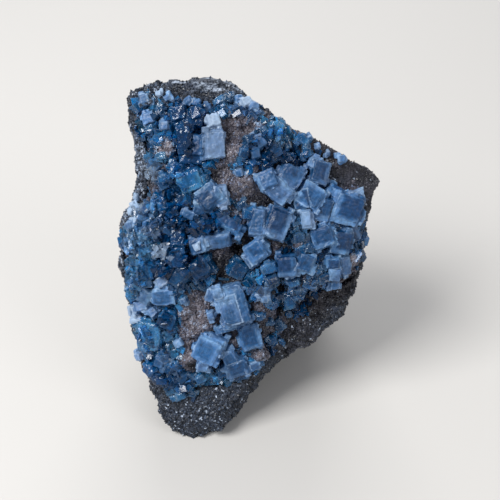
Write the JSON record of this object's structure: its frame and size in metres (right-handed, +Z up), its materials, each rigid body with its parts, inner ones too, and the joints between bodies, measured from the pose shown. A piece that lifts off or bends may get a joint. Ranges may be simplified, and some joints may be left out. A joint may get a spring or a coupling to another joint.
{
  "type": "fluorite specimen",
  "caption": "Hand specimen of blue fluorite cubes in stepped clusters, grown on a crust of grey-brown drusy quartz over dark granular host rock, leaning back on a flat foot.",
  "frame": {"origin": "middle of the specimen's bounding box, on the surface that it rests on", "axes": "+Z up, the crystal face looks towards -Y and leans back from upright, +X to the right as it is seen"},
  "size_m": [0.053, 0.047, 0.0663],
  "materials": {
    "host_rock": "rough dark granular rock with glints",
    "quartz": "grey-brown drusy quartz, sugary",
    "fluorite": "milky blue translucent fluorite with frosted rims"
  },
  "bodies": {
    "root": {"fluorite_bright_crystal": "fluorite", "fluorite_dark_cube": "fluorite", "fluorite_dark_glass": "fluorite", "fluorite_deep_glass": "fluorite", "fluorite_diamond_cube": "fluorite", "fluorite_edge_cubes": "fluorite", "fluorite_grey_blue_crystal": "fluorite", "fluorite_heart_cluster": "fluorite", "fluorite_lavender_ledge": "fluorite", "fluorite_left_glass": "fluorite", "fluorite_navy_crystal": "fluorite", "fluorite_night_cluster": "fluorite", "fluorite_pale_cube": "fluorite", "fluorite_plate_crystal": "fluorite", "fluorite_right_cluster": "fluorite", "fluorite_right_lower_cluster": "fluorite", "fluorite_round_crystal": "fluorite", "fluorite_stepped_crystal": "fluorite", "fluorite_striped_cluster": "fluorite", "fluorite_toe_fragments": "fluorite", "fluorite_twin_cubes": "fluorite", "fluorite_wing_crystal": "fluorite", "fluorite_zoned_cube": "fluorite", "host_rock": "host_rock", "quartz_crust": "quartz"}
  },
  "joints": []
}
